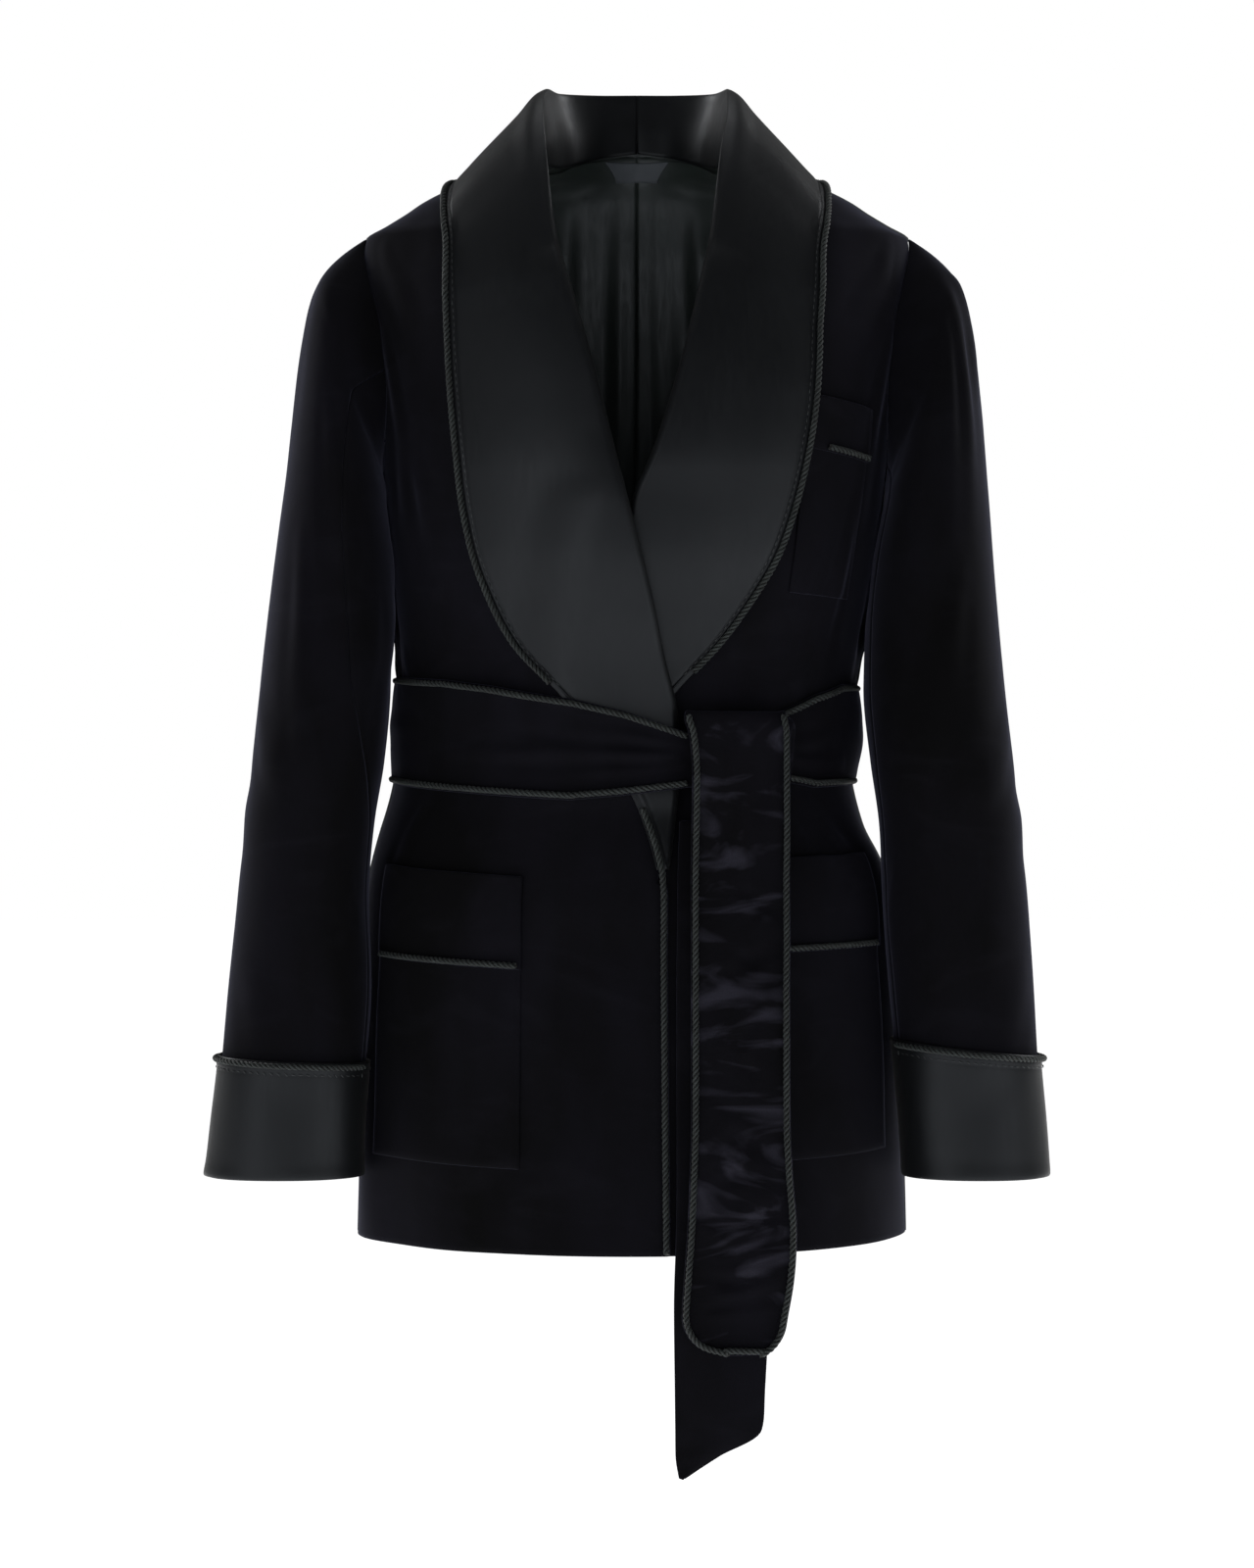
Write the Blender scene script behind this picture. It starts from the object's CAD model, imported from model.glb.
import json
import math

import bmesh
import bpy
import numpy as np
from mathutils import Matrix, Vector
from mathutils.bvhtree import BVHTree


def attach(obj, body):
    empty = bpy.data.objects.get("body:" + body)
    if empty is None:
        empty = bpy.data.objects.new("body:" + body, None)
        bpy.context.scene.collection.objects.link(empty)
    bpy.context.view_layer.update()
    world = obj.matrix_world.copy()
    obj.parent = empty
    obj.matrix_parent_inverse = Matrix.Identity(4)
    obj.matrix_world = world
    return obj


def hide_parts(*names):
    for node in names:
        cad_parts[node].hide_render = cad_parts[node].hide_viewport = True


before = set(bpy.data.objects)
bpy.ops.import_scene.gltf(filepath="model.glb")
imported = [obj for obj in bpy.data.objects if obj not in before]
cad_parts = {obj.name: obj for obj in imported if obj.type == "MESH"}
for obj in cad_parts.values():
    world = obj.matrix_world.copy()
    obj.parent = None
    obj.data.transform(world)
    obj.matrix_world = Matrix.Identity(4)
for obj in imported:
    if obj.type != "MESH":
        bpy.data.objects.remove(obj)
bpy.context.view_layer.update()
mm = 0.001  # every table below is in millimetres and degrees
bothSides = (("right", -1), ("left", 1))
print("frame loaded:", len(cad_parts), "nodes")


def linked(name, data):
    made = bpy.data.objects.new(name, data)
    bpy.context.scene.collection.objects.link(made)
    return made


# Camera: level with the chest, straight from the front
cameraView = {"x": -3.3, "back": 2400, "z": -415.8, "lens": 81.8, "sensor": 36, "reach": 60}
cameraData = bpy.data.cameras.new("frontCamera")
cameraData.lens = cameraView["lens"]
cameraData.sensor_width = cameraView["sensor"]
cameraData.clip_end = cameraView["reach"]
cameraObject = linked("frontCamera", cameraData)
cameraObject.location = (cameraView["x"] * mm, -cameraView["back"] * mm, cameraView["z"] * mm)
cameraObject.rotation_euler = (math.radians(90), 0, 0)
bpy.context.scene.camera = cameraObject


# Smooth curve through a table, level where the table is level
def smoothCurve(knots, values):
    knots = np.asarray(knots, float)
    values = np.asarray(values, float)
    if knots[0] > knots[-1]:
        knots, values = knots[::-1], values[::-1]
    steps = np.diff(knots)
    tall = (-1,) + (1,) * (values.ndim - 1)
    slopes = np.diff(values, axis=0) / steps.reshape(tall)
    before, after = slopes[:-1], slopes[1:]
    stepBefore, stepAfter = steps[:-1].reshape(tall), steps[1:].reshape(tall)
    mean = (before * stepAfter + after * stepBefore) / (stepBefore + stepAfter)
    limit = 3 * np.minimum(np.abs(before), np.abs(after))
    inner = np.where(before * after > 0, np.clip(mean, -limit, limit), 0)
    tangents = np.concatenate([slopes[:1], inner, slopes[-1:]])

    def at(place):
        place = np.clip(np.asarray(place, float), knots[0], knots[-1])
        i = np.clip(np.searchsorted(knots, place) - 1, 0, len(knots) - 2)
        h = steps[i]
        t = (place - knots[i]) / h
        wide = t.shape + (1,) * (values.ndim - 1)
        t, h = t.reshape(wide), h.reshape(wide)
        return ((2 * t ** 3 - 3 * t ** 2 + 1) * values[i] + (t ** 3 - 2 * t ** 2 + t) * tangents[i] * h
                + (3 * t ** 2 - 2 * t ** 3) * values[i + 1] + (t ** 3 - t ** 2) * tangents[i + 1] * h)
    return at


def curvesOf(table, key="z"):
    return {name: smoothCurve(table[key], values) for name, values in table.items() if name != key}


def ease(t):
    t = np.clip(t, 0, 1)
    return t * t * (3 - 2 * t)


# A soft rise of height 1 round a middle
def bulge(place, middle, reach):
    return np.exp(-((place - middle) / reach) ** 2)


# 1 at 0 degrees, falling to 0 at 180
def turnShare(degrees):
    return 0.5 + 0.5 * np.cos(np.radians(degrees))


def unit(vectors):
    return vectors / np.maximum(np.linalg.norm(vectors, axis=-1, keepdims=True), 1e-9)


def point(*places):
    return np.stack(np.broadcast_arrays(*(np.asarray(place, float) for place in places)), axis=-1)


# The worn body under the cloth: half width, depth to the front and to the back, and the middle's shift
bodyShape = {
    "z": (-760, -640, -540, -470, -442, -416, -380, -343, -300, -260, -214, -160, -110, -75, -50, -41, -33,
          -25, -17, -9, -3, 2, 12, 24),
    "half": (184, 182, 178, 171, 160, 153, 150, 153, 158, 163, 168, 174, 180, 184, 182, 168, 155,
             143, 127, 105, 82, 60, 55, 50),
    "front": (136, 131, 124, 115, 108, 103, 101, 104, 111, 117, 118, 111, 99, 87, 72, 66, 61,
              56, 50, 43, 38, 34, 30, 26),
    "back": (120, 116, 110, 99, 90, 84, 80, 83, 90, 96, 100, 99, 94, 89, 84, 81, 78,
             75, 72, 69, 66, 64, 62, 60),
    "shift": (-1, -1, -2, -3, -6, -6, -5, -3, -1, 1, 2, 3, 3.5, 3.5, 3.5, 3.5, 3.5,
              3.5, 3.5, 3.5, 3.5, 3.5, 3.5, 3.5),
}
armhole = {"z": (-214, -200, -178, -148, -118, -90, -68, -50), "turn": (90, 82, 76, 72.5, 72, 74, 80, 90)}
neckline = {"z": (-3, 4, 11, 18, 23.4), "turn": (90, 101, 118, 144, 173)}
overEdge = {
    "z": (-760, -484, -455, -422, -375, -330, -296, -237, -196, -132, -65, -30, -3),
    "x": (24, 22, 25, 28, 28, 19, 12.4, -2, -12.7, -28.6, -48, -56, -64),
}
underEdge = {
    "z": (-760, -375, -335, -296, -235, -215, -176, -132, -92, -65, -32, -3),
    "x": (-28, -28, -20, -13, 0, 9, 22, 34.6, 46, 50, 54, 71),
}
foldClear = {"z": (-95, -50, -24, -3), "clear": (6.5, 14, 13, 9)}
lapLift = {"z": (-760, -525, -490, -440, -420, -385, -236, -190),
           "lift": (2.3, 2.3, 4.8, 4.8, 7.8, 7.8, 7.8, 0),
           "near": 12, "far": 64}
bodyCurve = curvesOf(bodyShape)
armholeTurn = curvesOf(armhole)["turn"]
necklineTurn = curvesOf(neckline)["turn"]
overEdgeX = curvesOf(overEdge)["x"]
underEdgeX = curvesOf(underEdge)["x"]
lapLiftAt = smoothCurve(lapLift["z"], lapLift["lift"])


def bareBody(turn, z):
    angle = np.radians(turn)
    depth = np.where(np.cos(angle) > 0, bodyCurve["front"](z), bodyCurve["back"](z))
    return point(bodyCurve["shift"](z) + bodyCurve["half"](z) * np.sin(angle), -depth * np.cos(angle), z)


def onBody(turn, z, out=0.0):
    turn, z, out = np.broadcast_arrays(np.asarray(turn, float), np.asarray(z, float), np.asarray(out, float))
    around = bareBody(turn + 0.5, z) - bareBody(turn - 0.5, z)
    up = bareBody(turn, z + 0.5) - bareBody(turn, z - 0.5)
    return bareBody(turn, z) + unit(np.cross(around, up)) * out[..., None]


def turnAt(x, z):
    across = (np.asarray(x, float) - bodyCurve["shift"](z)) / bodyCurve["half"](z)
    return np.degrees(np.arcsin(np.clip(across, -1, 1)))


def onFront(x, z, out=0.0):
    return onBody(turnAt(x, z), z, out)


# The over front rises where it laps the under front and its lapel
def lapRise(x, z):
    start = underEdgeX(z)
    return lapLiftAt(z) * ease((x - (start - lapLift["far"])) / (lapLift["far"] - lapLift["near"]))


# Soft folds of the velvet on the body: three points (turn, z), width and height of each crease, the
# height of the slow wave and of the hem's, and how much of the lap and of the collar's edge keeps still
bodyFolds = {
    "creases": (
        ((47, -268), (41, -325), (38, -350), 5, 1.6),
        ((53, -300), (48, -352), (47, -370), 5, 1.4),
        ((60, -230), (56, -300), (51, -345), 7, 1.8),
        ((41, -428), (46, -455), (50, -470), 5, 1.6),
        ((50, -425), (58, -448), (64, -468), 6, 1.5),
        ((-38, -430), (-34, -455), (-33, -478), 8, 1.2),
        ((-55, -425), (-60, -452), (-62, -476), 7, 1.3),
        ((-22, -432), (-18, -465), (-17, -500), 9, 1.0),
        ((-62, -190), (-55, -235), (-47, -285), 10, 1.6),
        ((66, -60), (60, -85), (52, -120), 9, 1.4),
        ((-66, -62), (-60, -90), (-53, -120), 9, 1.2),
        ((70, -120), (66, -180), (64, -235), 8, 1.6),
        ((-70, -120), (-66, -185), (-66, -240), 8, 1.4),
        ((-75, -330), (-70, -345), (-58, -352), 8, 1.2),
        ((120, -300), (135, -330), (150, -345), 10, 1.6),
        ((-120, -300), (-135, -330), (-150, -345), 10, 1.6),
        ((115, -345), (125, -325), (140, -300), 9, 1.2),
        ((-115, -345), (-125, -322), (-140, -296), 9, 1.2),
        ((110, -425), (125, -450), (132, -490), 9, 1.5),
        ((-110, -425), (-125, -455), (-130, -495), 9, 1.5),
        ((170, -430), (168, -470), (165, -530), 11, 1.3),
        ((-160, -428), (-158, -470), (-156, -525), 11, 1.3),
        ((100, -60), (112, -100), (118, -160), 12, 1.6),
        ((-100, -60), (-112, -105), (-118, -165), 12, 1.6),
        ((102, -200), (110, -215), (125, -225), 9, 1.5),
        ((-102, -200), (-110, -218), (-125, -230), 9, 1.5),
        ((86, -286), (90, -318), (91, -348), 10, 3.8),
        ((-87, -298), (-90, -324), (-91, -348), 10, 2.8),
    ),
    "stretch": 2.8, "wave": 0.7, "hang": 0.9, "lapStill": (12, 22), "collarStill": 16,
}


# Height of soft ridges along bent lines; x and y in the same measure as the lines' points
def ridges(x, y, lines, stretch=1.0):
    total = np.zeros(np.broadcast(x, y).shape)
    for k, (a, b, c, width, high) in enumerate(lines):
        best = np.full(total.shape, 1e9)
        share = np.zeros(total.shape)
        for n, (p, q) in enumerate(((a, b), (b, c))):
            px, py, qx, qy = p[0] * stretch, p[1], q[0] * stretch, q[1]
            dx, dy = qx - px, qy - py
            t = np.clip(((x * stretch - px) * dx + (y - py) * dy) / (dx * dx + dy * dy), 0, 1)
            gap = np.hypot(x * stretch - px - t * dx, y - py - t * dy)
            closer = gap < best
            best = np.where(closer, gap, best)
            share = np.where(closer, (n + t) / 2, share)
        uneven = 0.8 + 0.25 * np.sin(share * 9 + k * 2.1)
        fade = np.sin(np.pi * np.clip(share * 0.86 + 0.07, 0, 1)) ** 0.7
        across = best / (width * (0.7 + 0.6 * share))
        total += high * uneven * fade * (np.exp(-across ** 2) - 0.45 * np.exp(-(across - 1.7) ** 2 * 1.6))
    return total


collarCover = smoothCurve((-440, -400, -358, -321, -284, -240, -198, -150, -100, -3),
                          (0, 12, 48, 82, 102, 113, 119, 124, 128, 130))


def bodySway(turn, z):
    folds = ridges(turn, z, bodyFolds["creases"], bodyFolds["stretch"])
    slow = (np.sin(turn * 0.21 + z * 0.004 + 0.7) * np.sin(z * 0.013 + turn * 0.031)
            + 0.6 * np.sin(turn * 0.11 - z * 0.021 + 2.0))
    hang = ease((-430 - z) / 200) * np.sin(turn * 0.155 + 1.1 + 0.4 * np.sin(z * 0.011)) * bodyFolds["hang"]
    aside = np.abs(bareBody(turn, z)[..., 0])
    near, reach = bodyFolds["lapStill"]
    still = ease((np.abs(turn) - near) / reach)
    bare = np.where(np.abs(turn) < 90, ease((aside - collarCover(z)) / bodyFolds["collarStill"]), 1)
    low = 1 - ease((z + 60) / 45)
    return (folds + bodyFolds["wave"] * slow + hang) * still * bare * low


print("body curves ready")


# Each socket of a node, by name or number, takes a value or a link
def plug(tree, node, sockets):
    for key, value in sockets.items():
        if isinstance(value, bpy.types.NodeSocket):
            tree.links.new(value, node.inputs[key])
        else:
            node.inputs[key].default_value = value
    return node


def addNode(tree, kind, sockets=None, **settings):
    node = tree.nodes.new(kind)
    for key, value in settings.items():
        setattr(node, key, value)
    return plug(tree, node, sockets or {})


def clothMaterial(name):
    made = bpy.data.materials.new(name)
    made.use_nodes = True
    shader = made.node_tree.nodes["Principled BSDF"]
    return made, made.node_tree, plug(made.node_tree, shader, {"Metallic": 0})


def patternOf(tree, kind, place, **sockets):
    return addNode(tree, "ShaderNodeTex" + kind, {"Vector": place, **sockets}).outputs["Fac"]


# A ramp's two stops are each a place and a colour or a grey
def rampOf(tree, source, *stops):
    ramp = addNode(tree, "ShaderNodeValToRGB", {"Fac": source})
    for element, (place, colour) in zip(ramp.color_ramp.elements, stops):
        element.position = place
        element.color = (*(colour if isinstance(colour, tuple) else (colour,) * 3), 1)
    return ramp.outputs["Color"]


def placeOf(tree, scale, turned=(0, 0, 0), source=None):
    source = source or addNode(tree, "ShaderNodeTexCoord").outputs["Object"]
    mapping = {"Vector": source, "Scale": scale, "Rotation": turned}
    return addNode(tree, "ShaderNodeMapping", mapping).outputs["Vector"]


def mixed(tree, kind, share, first, second):
    sockets = {"Factor": share, "A": first, "B": second}
    return addNode(tree, "ShaderNodeMix", sockets, data_type="RGBA", blend_type=kind).outputs["Result"]


def bumpOf(tree, height, strength, distance, **before):
    sockets = {"Height": height, "Strength": strength, "Distance": distance, **before}
    return addNode(tree, "ShaderNodeBump", sockets).outputs["Normal"]


# Velvet: a black pile with a violet-blue bloom where it leans, and lighter crushed marks
velvetLook = {
    "deep": (0.0009, 0.0009, 0.0013), "bloom": (0.0044, 0.0042, 0.0074), "crushed": (0.023, 0.0225, 0.034),
    "sheen": 0.33, "sheenTint": (0.22, 0.23, 0.35), "sheenRoughness": 0.34, "roughness": 0.92,
    "markRoughness": 0.6, "specular": 0.1, "pile": 2600.0, "pileBump": (0.35, 0.0003), "ruffleDeep": 0.0015,
}
# Marks on the cloth: how light, how fine, how slanted, from which level to which, and how raised
smoothMarks = {"crush": 0.07, "scale": 22.0, "slant": 0.6, "low": 0.52, "high": 0.8, "ruffle": 0.08}
crushedMarks = {"crush": 0.72, "scale": 26.0, "slant": -0.95, "low": 0.5, "high": 0.68, "ruffle": 0.5}


def makeVelvet(name, marks):
    made, tree, shader = clothMaterial(name)
    leaning = patternOf(tree, "Noise", placeOf(tree, (9, 9, 4)), Scale=1.0, Detail=4.0, Roughness=0.55)
    bloom = rampOf(tree, leaning, (0.36, velvetLook["deep"]), (0.68, velvetLook["bloom"]))
    cloudy = patternOf(tree, "Noise", placeOf(tree, (0.55, 1, 1.5), (0, marks["slant"], 0)),
                       Scale=marks["scale"], Detail=3.0, Roughness=0.5, Distortion=1.6)
    spots = rampOf(tree, cloudy, (marks["low"], 0), (marks["high"], marks["crush"]))
    colour = mixed(tree, "MIX", spots, bloom, (*velvetLook["crushed"], 1))
    pile = patternOf(tree, "Noise", placeOf(tree, (1, 1, 0.6)), Scale=velvetLook["pile"], Detail=2.0)
    grain = rampOf(tree, pile, (0.3, 0.72), (0.7, (1.2, 1.2, 1.22)))
    ruffled = bumpOf(tree, cloudy, marks["ruffle"], velvetLook["ruffleDeep"])
    plug(tree, shader, {
        "Base Color": mixed(tree, "MULTIPLY", 1.0, colour, grain),
        "Normal": bumpOf(tree, pile, *velvetLook["pileBump"], Normal=ruffled),
        "Roughness": rampOf(tree, spots, (0.0, velvetLook["roughness"]), (1.0, velvetLook["markRoughness"])),
        "Specular IOR Level": velvetLook["specular"],
        "Sheen Weight": velvetLook["sheen"],
        "Sheen Roughness": velvetLook["sheenRoughness"],
        "Sheen Tint": (*velvetLook["sheenTint"], 1),
    })
    return made


# Satin weaves: darkest and lightest colour, roughness, threads to the metre and specular level
satinLooks = {
    "satinCollar": {"colours": ((0.0026, 0.0029, 0.0034), (0.0048, 0.0053, 0.0062)),
                    "roughness": (0.38, 0.46), "weave": 1500.0, "specular": 0.27},
    "liningSatin": {"colours": ((0.016, 0.021, 0.0195), (0.026, 0.033, 0.031)),
                    "roughness": (0.34, 0.46), "weave": 1300.0, "specular": 0.5},
    "labelWeave": {"colours": ((0.05, 0.058, 0.07), (0.07, 0.08, 0.092)),
                   "roughness": (0.5, 0.6), "weave": 1100.0, "specular": 0.5},
    "stitchThread": {"colours": ((0.02, 0.022, 0.022), (0.036, 0.04, 0.04)),
                     "roughness": (0.4, 0.5), "weave": 2000.0, "specular": 0.5},
}
satinGloss = {"tint": (0.86, 0.92, 1.0), "sheen": 0.03, "sheenRoughness": 0.4, "slant": 0.62,
              "slubBump": (0.12, 0.0002), "threadBump": (0.1, 0.0001)}


def makeSatin(name):
    look = satinLooks[name]
    made, tree, shader = clothMaterial(name)
    cloudy = patternOf(tree, "Noise", placeOf(tree, (1, 1, 0.5)), Scale=11.0, Detail=3.0, Roughness=0.6)
    colour = rampOf(tree, cloudy, (0.3, look["colours"][0]), (0.75, look["colours"][1]))
    uv = addNode(tree, "ShaderNodeUVMap", uv_map="cloth").outputs["UV"]
    woven = placeOf(tree, (look["weave"], look["weave"], 1), (0, 0, satinGloss["slant"]), uv)
    threads = patternOf(tree, "Wave", woven, Scale=1.0, Distortion=0.4, Detail=1.0)
    slubs = patternOf(tree, "Noise", placeOf(tree, (1, 1, 0.12)), Scale=420.0, Detail=2.0)
    grain = rampOf(tree, threads, (0.1, 0.82), (0.9, 1.12))
    soft = bumpOf(tree, slubs, *satinGloss["slubBump"])
    plug(tree, shader, {
        "Base Color": mixed(tree, "MULTIPLY", 1.0, colour, grain),
        "Normal": bumpOf(tree, threads, *satinGloss["threadBump"], Normal=soft),
        "Roughness": rampOf(tree, slubs, (0.3, look["roughness"][0]), (0.7, look["roughness"][1])),
        "Specular IOR Level": look["specular"],
        "Specular Tint": (*satinGloss["tint"], 1),
        "Sheen Weight": satinGloss["sheen"],
        "Sheen Roughness": satinGloss["sheenRoughness"],
    })
    return made


# Braid yarn: greenish grey, fine filaments along each strand, dark in the hollows between strands
braidLook = {"dark": (0.0012, 0.0016, 0.0016), "light": (0.017, 0.022, 0.0218), "roughness": 0.5,
             "specular": 0.25, "sheen": 0.08, "reach": 2.1, "hollow": 0.03, "crest": 1.9,
             "filaments": (5, 900, 1), "slant": 0.5, "filamentBump": (0.4, 0.0002)}


def makeBraid(name):
    made, tree, shader = clothMaterial(name)
    around, along, lift = (addNode(tree, "ShaderNodeAttribute", attribute_name=each).outputs["Fac"]
                           for each in ("strandAround", "strandAlong", "strandLift"))
    joined = addNode(tree, "ShaderNodeCombineXYZ", {"X": around, "Y": along}).outputs["Vector"]
    wound = placeOf(tree, braidLook["filaments"], (0, 0, braidLook["slant"]), joined)
    filaments = patternOf(tree, "Wave", wound, Scale=1.0, Distortion=0.8, Detail=1.0)
    worn = patternOf(tree, "Noise", placeOf(tree, (1, 1, 1)), Scale=70.0, Detail=2.0)
    patchy = rampOf(tree, worn, (0.3, 0.75), (0.7, 1.2))
    colour = rampOf(tree, filaments, (0.05, braidLook["dark"]), (0.75, braidLook["light"]))
    share = addNode(tree, "ShaderNodeMath", {0: lift, 1: 1 / (braidLook["reach"] * mm)}, operation="MULTIPLY")
    hollow = rampOf(tree, share.outputs[0], (0.7, braidLook["hollow"]), (0.97, braidLook["crest"]))
    worked = mixed(tree, "MULTIPLY", 1.0, colour, patchy)
    plug(tree, shader, {
        "Base Color": mixed(tree, "MULTIPLY", 1.0, worked, hollow),
        "Normal": bumpOf(tree, filaments, *braidLook["filamentBump"]),
        "Roughness": braidLook["roughness"],
        "Specular IOR Level": braidLook["specular"],
        "Sheen Weight": braidLook["sheen"],
    })
    return made


velvet = makeVelvet("velvetPile", smoothMarks)
crushedVelvet = makeVelvet("velvetCrushed", crushedMarks)
satin, liningSatin, labelSatin, threadYarn = (makeSatin(name) for name in satinLooks)
braidYarn = makeBraid("braidYarn")
print("materials ready")


def arcLengths(grid, axis):
    steps = np.linalg.norm(np.diff(grid, axis=axis), axis=-1)
    start = np.zeros_like(np.take(steps, [0], axis=axis))
    return np.concatenate([start, np.cumsum(steps, axis=axis)], axis=axis)


def gridNormals(grid, closed=False):
    if closed:
        across = np.roll(grid, -1, axis=1) - np.roll(grid, 1, axis=1)
    else:
        across = np.gradient(grid, axis=1)
    return unit(np.cross(across, np.gradient(grid, axis=0)))


# 1 where a grid's faces look the way that outward says, or -1
def facing(grid, outward, closed=False):
    return 1 if np.median(np.sum(gridNormals(grid, closed) * outward, axis=2)) > 0 else -1


def finishMesh(name, points, faces, materials, faceSlots, uvs):
    mesh = bpy.data.meshes.new(name)
    mesh.from_pydata((np.asarray(points) * mm).tolist(), [], faces)
    for each in materials:
        mesh.materials.append(each)
    mesh.polygons.foreach_set("material_index", np.asarray(faceSlots, np.int32))
    layer = mesh.uv_layers.new(name="cloth")
    corners = np.zeros(len(mesh.loops), np.int32)
    mesh.loops.foreach_get("vertex_index", corners)
    layer.data.foreach_set("uv", (np.asarray(uvs) * mm)[corners].astype(np.float32).ravel())
    mesh.shade_smooth()
    mesh.validate()
    return linked(name, mesh)


# Cloth with two faces and a rounded rim, from the outer face's grid; way says which side is out
def clothShell(name, outer, thick, materials, way=1, closed=False, normals=None):
    rimOut = 0.3
    rows, columns = outer.shape[:2]
    normals = gridNormals(outer, closed) * way if normals is None else normals
    uv = np.stack([arcLengths(outer, 1), arcLengths(outer, 0)], axis=-1).reshape(-1, 2)
    count = rows * columns
    index = np.arange(count).reshape(rows, columns)
    flatOuter, flatNormals = outer.reshape(-1, 3), normals.reshape(-1, 3)
    points = [flatOuter, flatOuter - flatNormals * thick]
    uvs = [uv, uv]
    if closed:
        a, b = index[:-1], np.roll(index, -1, axis=1)[:-1]
        c, d = np.roll(index, -1, axis=1)[1:], index[1:]
        loops = [index[0], index[-1][::-1]]
    else:
        a, b, c, d = index[:-1, :-1], index[:-1, 1:], index[1:, 1:], index[1:, :-1]
        loops = [np.concatenate([index[0], index[1:, -1], index[-1, -2::-1], index[-2:0:-1, 0]])]
    front = np.stack([a, b, c, d], axis=-1).reshape(-1, 4)[:, ::way]
    faces = [front, front[:, ::-1] + count]
    extra = 2 * count
    for loop in loops:
        after = np.roll(loop, -1)
        tangent = unit(flatOuter[after] - flatOuter[np.roll(loop, 1)])
        aside = unit(np.cross(tangent, flatNormals[loop])) * way
        points.append(flatOuter[loop] - flatNormals[loop] * thick / 2 + aside * thick * rimOut)
        uvs.append(uv[loop])
        mid = np.arange(len(loop)) + extra
        nextMid = np.roll(mid, -1)
        for corners in ((loop, mid, nextMid, after), (mid, loop + count, after + count, nextMid)):
            faces.append(np.stack(corners, axis=-1)[:, ::way])
        extra += len(loop)
    slots = np.zeros(sum(len(each) for each in faces), int)
    slots[len(front):2 * len(front)] = len(materials) - 1
    return finishMesh(name, np.concatenate(points), np.concatenate(faces).tolist(), materials, slots,
                      np.concatenate(uvs))


def declareRide(piece, node):
    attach(piece, "root")
    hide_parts(node)


# Turnings added to a piece's width and to its length for its cut, both sides together
turnings = {"panel": 20, "cuff": 10, "patch": 4, "strip": 2}
flatSizes = {}


# A piece of cloth, declared with the flat size of its cut as measured on its grid
def makeCloth(node, slot, outer, thick, materials, cut, held, restsOn, grid=None, digits=4, **shell):
    piece = clothShell(node + ".cloth", outer, thick, materials, **shell)
    grid = outer if grid is None else grid
    width, length = (round(float(np.max(each)) * mm + turnings[cut] * mm, 3)
                     for each in (arcLengths(grid, 1)[:, -1], arcLengths(grid, 0)[-1]))
    area = round(sum(face.area for face in piece.data.polygons) / 2, digits)
    flatSizes[node] = (width, length, area)
    declareRide(piece, node)


# Edge of a panel sinks a little towards its seam
def seamDip(grid, way=1, reach=3.0, deep=0.5, sides=(True, True)):
    along = arcLengths(grid, 1)
    fromSeams = [each for each, sewn in zip((along, along[:, -1:] - along), sides) if sewn]
    dip = deep * (1 - ease(np.min(fromSeams, axis=0) / reach))
    return grid - gridNormals(grid) * way * dip[..., None]


def spread(count, crowd=0.0):
    t = np.linspace(0, 1, count)
    return t - crowd * np.sin(2 * np.pi * t) / (2 * np.pi)


# Fronts and backs; the lining ripples a little behind the velvet
bodyCut = {"velvet": 1.6, "lining": 1.2, "layerGap": 0.45, "behind": 1.4, "seam": 0.12, "hem": -716,
           "shoulder": (-60, -57, -3), "neckTop": 23.4, "rows": (190, 34, 16), "columns": 96, "crowd": 0.5,
           "allowance": 2.2, "allowanceDeep": 2.4}
liningShape = {"hem": -704, "drop": 6, "rows": 200, "cloth": 0.5, "ripple": 1.2, "loose": 1.4,
               "seam": 0.7, "seamWide": 0.9}


def sideLimit(z):
    inside = (z > armhole["z"][0]) & (z < armhole["z"][-1])
    return np.where(inside, armholeTurn(z), 90.0) - bodyCut["seam"]


def backLimit(z):
    return np.where(z > neckline["z"][0], 180 - necklineTurn(z), sideLimit(z))


def foldEdge(edgeX, z, sign):
    inset = (z > -480) | (sign > 0)
    clear = np.where(inset, np.interp(z, foldClear["z"], foldClear["clear"]), 0)
    return turnAt(edgeX(z) + sign * clear, z)


def panelGrid(levels, low, high, out):
    share = spread(bodyCut["columns"], bodyCut["crowd"])
    turns = low[:, None] * (1 - share) + high[:, None] * share
    z = np.repeat(levels[:, None], len(share), axis=1)
    return onBody(turns, z, out(turns, z))


# From beside the centre back seam to the side, on either half
def backGrid(levels, near, sign, seam, out):
    far = np.full(len(levels), 180.0 - seam)
    return panelGrid(levels, *((near, far) if sign > 0 else (-far, -near)), out)


def rightRise(turn, z):
    return lapRise(bareBody(turn, z)[..., 0], z) + bodySway(turn, z)


# The seam allowance at the armhole turns in under the sleeve's head
def withAllowance(grid, levels, edge, turnIn, atEnd, out):
    opened = ease((levels - armhole["z"][0]) / 9) * ease((armhole["z"][-1] - levels) / 5)
    opened = opened[:, None] * 0.97 + 0.03
    share = np.array([0.35, 0.7, 1.0])[None, :]
    turns = edge[:, None] + turnIn * bodyCut["allowance"] * share * opened
    z = np.repeat(levels[:, None], 3, axis=1)
    strip = onBody(turns, z, out(edge[:, None] + 0 * z, z) - bodyCut["allowanceDeep"] * share ** 0.8 * opened)
    return np.concatenate([grid, strip] if atEnd else [strip[:, ::-1], grid], axis=1)


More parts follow.
